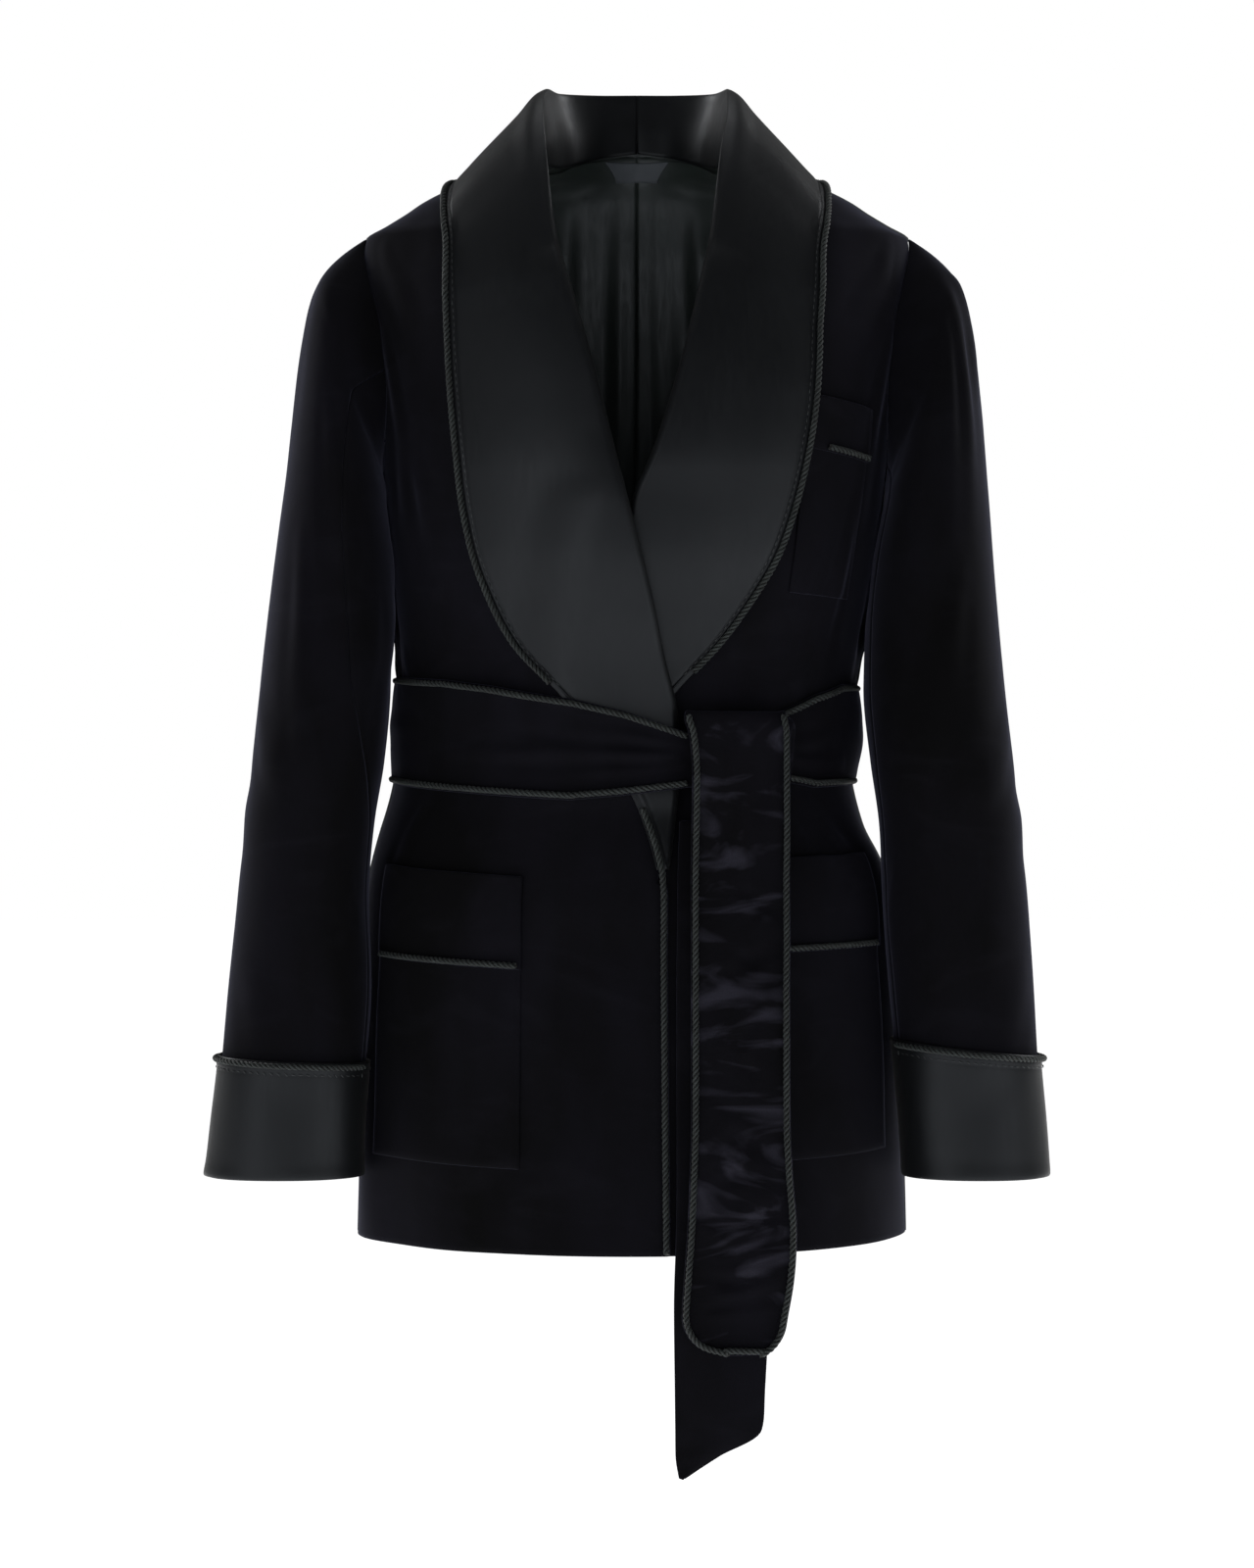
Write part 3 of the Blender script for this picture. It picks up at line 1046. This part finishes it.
def makeCuff(side, sign):
    places, surface, normals = sleeves[side]
    count = cuffShape["columns"]
    wanted = np.arange(count) * 360 / count
    wide = np.repeat(wanted[None, :], len(surface), axis=0)
    rings, ways = ringColumns(places, surface, wide), unit(ringColumns(places, normals, wide))
    heights = rings[:, :, 2].mean(axis=1)[::-1]

    def atHeight(z, j, out):
        level = np.interp(z, heights, np.arange(len(heights)))
        i = np.minimum(level.astype(int), len(heights) - 2)
        t = (level - i)[..., None]
        low, high = len(heights) - 1 - i, len(heights) - 2 - i
        return rings[low, j] * (1 - t) + rings[high, j] * t + ways[low, j] * np.asarray(out)[..., None]
    slant = -cuffShape["slant"][side]
    tall = cuffShape["top"] - cuffShape["low"]
    share = spread(cuffShape["rows"])[:, None]
    around = np.radians(wanted)
    z = cuffShape["low"] + tall * share + slant * (1 - turnShare(wanted))[None, :] * share
    fromTop = (1 - share) * tall
    j = np.repeat(np.arange(count)[None, :], len(share), axis=0)
    soft = 0.5 * np.sin(around * 2 + share * 2.4 + sign) + 0.3 * np.sin(around * 5 + share * 4)
    ridgeIn, seamIn = cuffShape["ridgeIn"]
    ridge = (collarShape["ridge"] * bulge(fromTop, ridgeIn, collarShape["ridgeWide"])
             - 0.3 * bulge(fromTop, seamIn, 0.8))
    rolled = 0.4 * bulge(share, 0.07, 0.06) - cuffShape["roll"] * (1 - ease(share / 0.035))
    grid = atHeight(z, j, cuffShape["out"] + 0.35 + soft * ease(share / 0.2) * 0.8 + ridge + rolled)
    way = facing(grid, ways[len(rings) - 5, j], True)
    makeCloth("cuff_" + side, "satin", grid, cuffShape["satin"], [satin], "cuff", "folded",
              ["sleeve_upper_" + side, "sleeve_under_" + side], way=way, closed=True)
    turns = np.linspace(*cuffShape["ropeEnds"], cuffShape["ropePoints"])
    j = np.round((turns % 360) / 360 * count).astype(int) % count
    top = cuffShape["top"] + slant * (1 - turnShare(turns))
    out = np.full(len(turns), cuffShape["out"] + ropeRadius * 0.7 + 0.4)
    path = atHeight(top - cuffShape["ropeBelow"], j, out)
    path = [path[np.clip(np.arange(i - 2, i + 3), 0, len(path) - 1)].mean(axis=0) for i in range(len(path))]
    makeRope("braid_cuff_" + side, path)
    path = atHeight(top - cuffShape["stitchBelow"], j, np.full(len(turns), cuffShape["out"] + 1.0))
    makeStitches("stitches_cuff_" + side, path)


for side, sign in bothSides:
    makeCuff(side, sign)
print("cuffs made")

# Patch pockets with a turned-down band, braid along the band
pocketShape = {
    "hip_right": {"turns": (-23, -67), "mouth": (-477, -470), "band": (-535, -529), "rope": (-23.5, -64),
                  "foot": (-662, -659)},
    "hip_left": {"turns": (26, 67), "mouth": (-466, -463), "band": (-525, -522), "rope": (26.5, 64),
                 "foot": (-658, -655)},
    "chest": {"turns": (40, 63), "mouth": (-163, -170), "band": (-197, -204), "rope": (46.5, 62),
              "foot": (-291, -294)},
}
pocketCut = {"cloth": 1.2, "out": 1.9, "bandOut": 3.8, "columns": 48, "rows": 60, "bandRows": 26, "edge": 3.5}


def riseUnder(turn, z):
    x = bareBody(turn, z)[..., 0]
    return np.where(turn < 0, lapRise(x, z), 0) + bodySway(turn, z)


def patchGrid(turns, top, low, out, rows):
    start, end = sorted(turns)
    if turns[0] > turns[1]:
        top, low = top[::-1], low[::-1]
    s = spread(pocketCut["columns"], 0.6)[None, :]
    v = spread(rows, 0.5)[:, None]
    turn = start + (end - start) * s + 0 * v
    z = (low[0] * (1 - s) + low[1] * s) * (1 - v) + (top[0] * (1 - s) + top[1] * s) * v
    nearSide = np.minimum(s, 1 - s) * (end - start) * 2.6
    nearFoot = v * (np.mean(top) - np.mean(low))
    fall = np.maximum(*(1 - ease(near / pocketCut["edge"]) for near in (nearSide, nearFoot))) * 0.85
    return turn, z, (out - pocketCut["cloth"] + 0.1) * fall, v


def makePocket(name, size):
    turn, z, drop, v = patchGrid(size["turns"], size["mouth"], size["foot"], pocketCut["out"],
                                 pocketCut["rows"])
    sag = 0.35 * np.sin(turn * 0.2 + z * 0.03) * ease(v / 0.2)
    patch = onBody(turn, z, riseUnder(turn, z) + pocketCut["out"] - drop * 0.7 + sag)
    mouth = [level + 0.6 for level in size["mouth"]]
    turn, z, drop, v = patchGrid(size["turns"], mouth, size["band"], pocketCut["bandOut"],
                                 pocketCut["bandRows"])
    sag = 0.25 * np.sin(turn * 0.3 + z * 0.05)
    band = onBody(turn, z, riseUnder(turn, z) + pocketCut["bandOut"] - drop * 0.3 + sag)
    for node, grid in (("pocket_" + name, patch), ("band_" + name, band)):
        makeCloth(node, "velvet", grid, pocketCut["cloth"], [velvet], "patch", "laid",
                  ["front_right" if name == "hip_right" else "front_left"])
    start, end = size["turns"]
    turns = np.linspace(*size["rope"], 60)
    s = (turns - start) / (end - start)
    level = size["band"][0] * (1 - s) + size["band"][1] * s + ropeRadius
    makeRope("braid_" + name,
             onBody(turns, level, riseUnder(turns, level) + pocketCut["bandOut"] + ropeRadius * 0.85))


for name, size in pocketShape.items():
    makePocket(name, size)
print("pockets made")

# Braid down the over front's edge and beside the lapel's tip
frontBraids = {"tip": (-434, -472), "edge": (-491, -715), "beside": 2.5, "inside": 0.2}


def ropeOnFront(x, z, over):
    return onFront(x, z, lapRise(x, z) + over + ropeRadius * 0.9)


def makeFrontBraids():
    edgeOf = smoothCurve(lapels["right"]["edgeZ"], lapels["right"]["edgeX"])
    edgeStart = frontBraids["edge"][0]
    tipEnd = frontBraids["tip"][1] + 4
    z = np.linspace(frontBraids["tip"][0], edgeStart + 0.4, 45)
    step = ease((tipEnd - z) / (tipEnd - edgeStart))
    over = (collarShape["gap"] + collarShape["satin"] + collarShape["edgeRise"] + 0.3) * (1 - step)
    inside = ropeRadius + frontBraids["inside"]
    x = (edgeOf(z) + frontBraids["beside"]) * (1 - step) + (overEdgeX(z) - inside) * step
    makeRope("braid_lapel_tip", ropeOnFront(x, z, over))
    z = np.linspace(*frontBraids["edge"], 120)
    makeRope("braid_front_edge", ropeOnFront(overEdgeX(z) - inside, z, 0))


makeFrontBraids()

# Tie belt: the wrap, the half knot and the two hanging ends
beltShape = {
    "turn": (16.5, 0, -12, -35, -50, -75, -90, -180, -270, -293, -306, -318, -321),
    "top": (-385, -369, -361, -352, -348, -345, -344, -342, -349, -350, -357, -368, -371),
    "low": (-419, -425, -428, -423, -420, -416, -415, -412, -416, -417, -418, -414, -412),
    "out": (13.6, 13.6, 13, 6, 3.6, 3.4, 3.4, 3.4, 3.4, 3.4, 3.6, 4, 4.2),
}
beltCut = {"cloth": 2.0, "columns": 460, "rows": 34, "ropePoints": 420, "foldStretch": 2.6}
beltFolds = (
    ((12, -398), (-8, -397), (-28, -394), 5, 2.6), ((14, -404), (0, -408), (-14, -410), 4, 1.2),
    ((14, -392), (2, -386), (-12, -382), 4, 1.0), ((-20, -398), (-36, -396), (-50, -392), 5, 1.2),
    ((-318, -391), (-308, -388), (-296, -384), 4.5, 1.3),
    ((-318, -398), (-306, -402), (-292, -403), 4.5, 1.2),
    ((-60, -380), (-90, -376), (-120, -380), 7, 0.7), ((-140, -390), (-180, -386), (-215, -392), 7, 0.8),
    ((-230, -380), (-255, -384), (-275, -390), 7, 0.8),
)
# Where the belt puffs out at the wearer's sides: turn, reach in degrees, height
beltPuffs = ((-272, 22, 7.0), (-90, 20, 4.5))
frontEnd = {
    "z": (-392, -379, -371, -369, -374, -385, -410, -445, -480, -515, -550, -590, -630, -665, -700, -728,
          -752, -764, -772, -777),
    "y": (-114.5, -114, -115, -118, -121.5, -123, -124, -126, -129, -133, -137, -140, -142, -143.5, -145,
          -146, -146, -146, -146, -146),
    "back": (18, 18, 18, 18, 17, 16, 15, 14, 12, 10, 8, 7, 6, 5, 4, 3, 3, 3, 3, 3),
    "left": (41, 39, 36, 35, 34, 37, 39, 38.5, 38, 38, 38, 38, 38, 37, 35.5, 33.5, 32, 35, 43, 58),
    "right": (98, 98, 98, 98.5, 99.5, 101, 101, 101, 100.5, 100.5, 100, 100, 100, 101.5, 104, 102.5, 98.5, 96,
              91, 84),
    "rows": 220, "columns": 40, "ropeFrom": 44, "wide": 62,
}
backEnd = {
    "rows": 120, "columns": 24,
    "z": (-440, -470, -505, -540, -580, -620, -660, -700, -750, -800, -826, -843, -857),
    "y": (-111, -117, -123, -127.5, -131, -133.2, -135.3, -137.3, -138, -138, -138, -138, -138),
    "back": (9, 9, 7, 5, 4, 4, 4, 3, 2, 0, 0, 0, 0),
    "left": (31, 30, 29.5, 29, 29, 29, 29, 28.5, 27, 27.5, 27.8, 28, 30),
    "right": (84, 85, 86, 86, 86, 86, 86, 86, 86, 84, 82, 55, 34),
}
# Crushed folds across the front end: (across 0 to 1, row place), width, height
endFolds = (
    ((0.45, -480), (0.7, -492), (0.95, -500), 5, 1.4), ((0.5, -505), (0.66, -500), (0.8, -488), 4, 1.0),
    ((0.42, -522), (0.62, -530), (0.88, -519), 4.5, 1.6), ((0.2, -540), (0.42, -536), (0.68, -524), 4.5, 1.2),
    ((0.3, -575), (0.5, -580), (0.66, -566), 4.5, 1.4), ((0.46, -590), (0.62, -600), (0.6, -615), 5, 1.2),
    ((0.15, -610), (0.35, -620), (0.6, -625), 5, 1.0), ((0.15, -650), (0.45, -640), (0.85, -650), 5, 1.4),
    ((0.2, -672), (0.5, -664), (0.9, -670), 4.5, 1.2), ((0.1, -690), (0.45, -699), (0.85, -686), 4.5, 1.6),
    ((0.3, -712), (0.6, -704), (0.92, -706), 4.5, 1.2), ((0.15, -728), (0.5, -732), (0.9, -720), 4.5, 1.5),
    ((0.25, -748), (0.55, -744), (0.9, -740), 4.5, 1.3), ((0.1, -420), (0.3, -440), (0.42, -470), 6, 1.2),
    ((0.8, -400), (0.7, -430), (0.74, -462), 6, 1.1),
)
knotShape = {
    "z": (-374, -372, -378, -390, -405, -418, -428, -431),
    "out": (7, 12, 15, 15.5, 15.5, 15, 11.5, 7),
    "left": (42, 41, 40, 40, 40, 40, 41, 43),
    "right": (94, 96, 98, 97, 96, 95, 93, 91), "rows": 60, "columns": 40,
}


def beltRow(name, turn):
    return np.interp(turn, beltShape["turn"][::-1], beltShape[name][::-1])


def beltHeight(turn, v):
    return beltRow("low", turn) + (beltRow("top", turn) - beltRow("low", turn)) * v


def beltAt(turn, v, more):
    z = beltHeight(turn, v)
    turned = np.where(turn < -180, turn + 360, turn)
    return onBody(turned, z, beltRow("out", turn) + more + np.minimum(bodySway(turned, z), 0))


def tableRows(table, names):
    knots = np.arange(len(table["z"]))
    k = np.linspace(0, len(knots) - 1, table["rows"])
    return [k[:, None]] + [smoothCurve(knots, table[name])(k)[:, None] for name in names]


def hangingGrid(table, shape=None):
    k, z, y, back, left, right = tableRows(table, ("z", "y", "back", "left", "right"))
    s = spread(table["columns"], 0.4)[None, :]
    grid = point(left + (right - left) * s, y + back * s, z + 0 * s)
    if shape is not None:
        grid = grid + gridNormals(grid) * shape(s + 0 * z, z + 0 * s, k + 0 * s)[..., None]
    return grid


def makeStrip(node, grid, cloth, held, restsOn, way):
    makeCloth(node, "velvet", grid, beltCut["cloth"], [cloth], "strip", held, restsOn, way=way)


def makeBelt():
    start, end = beltShape["turn"][-1], beltShape["turn"][0]
    turn = np.linspace(start, end, beltCut["columns"])[None, :]
    v = spread(beltCut["rows"])[:, None]
    folds = ridges(turn + 0 * v, beltHeight(turn, v), beltFolds, beltCut["foldStretch"])
    edge = 1 - ease(np.minimum(v, 1 - v) / 0.09)
    puff = sum(high * bulge(turn, middle, reach) for middle, reach, high in beltPuffs) * np.sin(np.pi * v)
    more = folds * (1 - edge) + 0.3 * np.sin(turn * 0.09 + v * 2) - edge * 0.3 + puff
    makeStrip("belt_wrap", beltAt(turn, v, more), velvet, "gathered",
              ["front_right", "back_right", "back_left", "front_left"], 1)
    turns = np.linspace(end - 2, start + 2, beltCut["ropePoints"])
    height = beltRow("top", turns) - beltRow("low", turns)
    aside = ease((np.abs((turns + 180) % 360 - 180) - 55) / 25)
    for name, v, move in (("braid_belt_top", 1, -ropeRadius), ("braid_belt_low", 0, ropeRadius)):
        makeRope(name, beltAt(turns, v + move / height, ropeRadius * (0.9 - 0.95 * aside)))


def crushed(s, z, k):
    wide = frontEnd["wide"]
    along = np.where(k > 4, ridges(s * wide, z, scaledLines(endFolds, wide, 1)), 0)
    edge = ease(np.minimum(s, 1 - s) / 0.1)
    slow = 0.5 * np.sin(z * 0.05 + s * 3) + 0.4 * np.sin(z * 0.11 - s * 4)
    return (along + slow * ease((k - 3) / 3)) * edge - 0.5 * (1 - edge)


def plainWaves(s, z, k):
    return 0.8 * np.sin(s * 5 + z * 0.02) + 0.4 * np.sin(z * 0.05)


def makeBeltEnds():
    ahead = np.array((0, -1, 0))
    front = hangingGrid(frontEnd, crushed)
    makeStrip("belt_end_front", front, crushedVelvet, "hung", ["belt_knot"], facing(front, ahead))
    back = hangingGrid(backEnd, plainWaves)
    makeStrip("belt_end_back", back, velvet, "hung", ["belt_knot"], facing(back, ahead))
    plain = hangingGrid(frontEnd)
    rise = gridNormals(plain) * facing(plain, ahead) * (ropeRadius * 0.9)
    below = slice(frontEnd["ropeFrom"], None)
    left, right = (plain[below, side] + unit(plain[below, inner] - plain[below, side]) * ropeRadius
                   + rise[below, side] for side, inner in ((0, 1), (-1, -2)))
    foot = (plain + rise)[-1, 1:-1:3] + (0, 0, ropeRadius)
    makeRope("braid_belt_end", np.concatenate([left, foot, right[::-1]]))


def makeKnot():
    z, out, left, right = tableRows(knotShape, ("z", "out", "left", "right"))[1:]
    s = np.linspace(0, 1, knotShape["columns"])[None, :]
    pleats = 1.1 * np.sin(s * 15 + z * 0.05) * ease(np.minimum(s, 1 - s) / 0.12)
    grid = onFront(left + (right - left) * s, z + 0 * s, out + pleats)
    makeStrip("belt_knot", grid, crushedVelvet, "gathered", ["belt_wrap"], facing(grid, np.array((0, -1, 0))))


makeBelt()
makeBeltEnds()
makeKnot()
print("belt made")

# Small blank label inside the back of the neck
labelShape = {"z": (1, 13), "reach": (14, 26), "cloth": 0.6, "rows": 12, "columns": 40}


def makeLabel():
    z, reach = (np.linspace(*labelShape[name], labelShape["rows"])[:, None] for name in ("z", "reach"))
    turn = 180 + reach * np.linspace(-1, 1, labelShape["columns"])[None, :]
    inside = -bodyCut["velvet"] - bodyCut["layerGap"] - bodyCut["lining"] - bodyCut["behind"]
    grid = onBody(np.where(turn > 180, turn - 360, turn), z + 0 * turn, inside)
    makeCloth("neck_label", "lining", grid, labelShape["cloth"], [labelSatin], "strip", "laid",
              ["lining_left", "lining_right"], digits=5)


makeLabel()

# Pale floor and soft studio light; each lamp has its place in metres, its size and its power
studio = {"floor": -1450, "floorSize": 25, "floorColour": (0.9, 0.9, 0.9), "floorGlow": 1.0,
          "floorRoughness": 0.8, "backdrop": 1.0, "room": 0.1, "aim": (0, 0, -0.35)}
lamps = {
    "keyLamp": ((-1.7, -2.6, 0.0), 1.6, 12),
    "fillLamp": ((2.2, -2.3, -0.7), 2.0, 9),
    "rimLampLeft": ((-2.4, 1.1, 1.0), 1.4, 34),
    "rimLampRight": ((2.4, 1.1, 1.0), 1.4, 34),
    "topLamp": ((0, 0.4, 2.6), 1.8, 14),
}


def makeFloor():
    mesh = bpy.data.meshes.new("floor")
    work = bmesh.new()
    bmesh.ops.create_circle(work, cap_ends=True, segments=96, radius=studio["floorSize"],
                            matrix=Matrix.Translation((0, 0, studio["floor"] * mm)))
    work.to_mesh(mesh)
    work.free()
    paper = bpy.data.materials.new("floorPaper")
    paper.use_nodes = True
    plug(paper.node_tree, paper.node_tree.nodes["Principled BSDF"], {
        "Base Color": (*studio["floorColour"], 1), "Roughness": studio["floorRoughness"],
        "Emission Color": (1, 1, 1, 1), "Emission Strength": studio["floorGlow"]})
    mesh.materials.append(paper)
    linked("floor", mesh)


def makeWorld():
    world = bpy.data.worlds.new("studio")
    world.use_nodes = True
    tree = world.node_tree
    backdrop, room = tree.nodes["Background"], tree.nodes.new("ShaderNodeBackground")
    for each, strength in ((backdrop, studio["backdrop"]), (room, studio["room"])):
        plug(tree, each, {"Color": (1, 1, 1, 1), "Strength": strength})
    seen = addNode(tree, "ShaderNodeLightPath").outputs["Is Camera Ray"]
    both = addNode(tree, "ShaderNodeMixShader", {0: seen, 1: room.outputs[0], 2: backdrop.outputs[0]})
    plug(tree, tree.nodes["World Output"], {"Surface": both.outputs[0]})
    bpy.context.scene.world = world
    bpy.context.scene.view_settings.view_transform = "Standard"


def makeLamps():
    for name, (place, size, power) in lamps.items():
        data = bpy.data.lights.new(name, "AREA")
        data.size = size
        data.energy = power
        lamp = linked(name, data)
        lamp.location = place
        lamp.rotation_euler = (Vector(studio["aim"]) - Vector(place)).to_track_quat("-Z", "Y").to_euler()
        lamp.visible_camera = False


makeFloor()
makeWorld()
makeLamps()
print("flat sizes:", json.dumps(flatSizes))
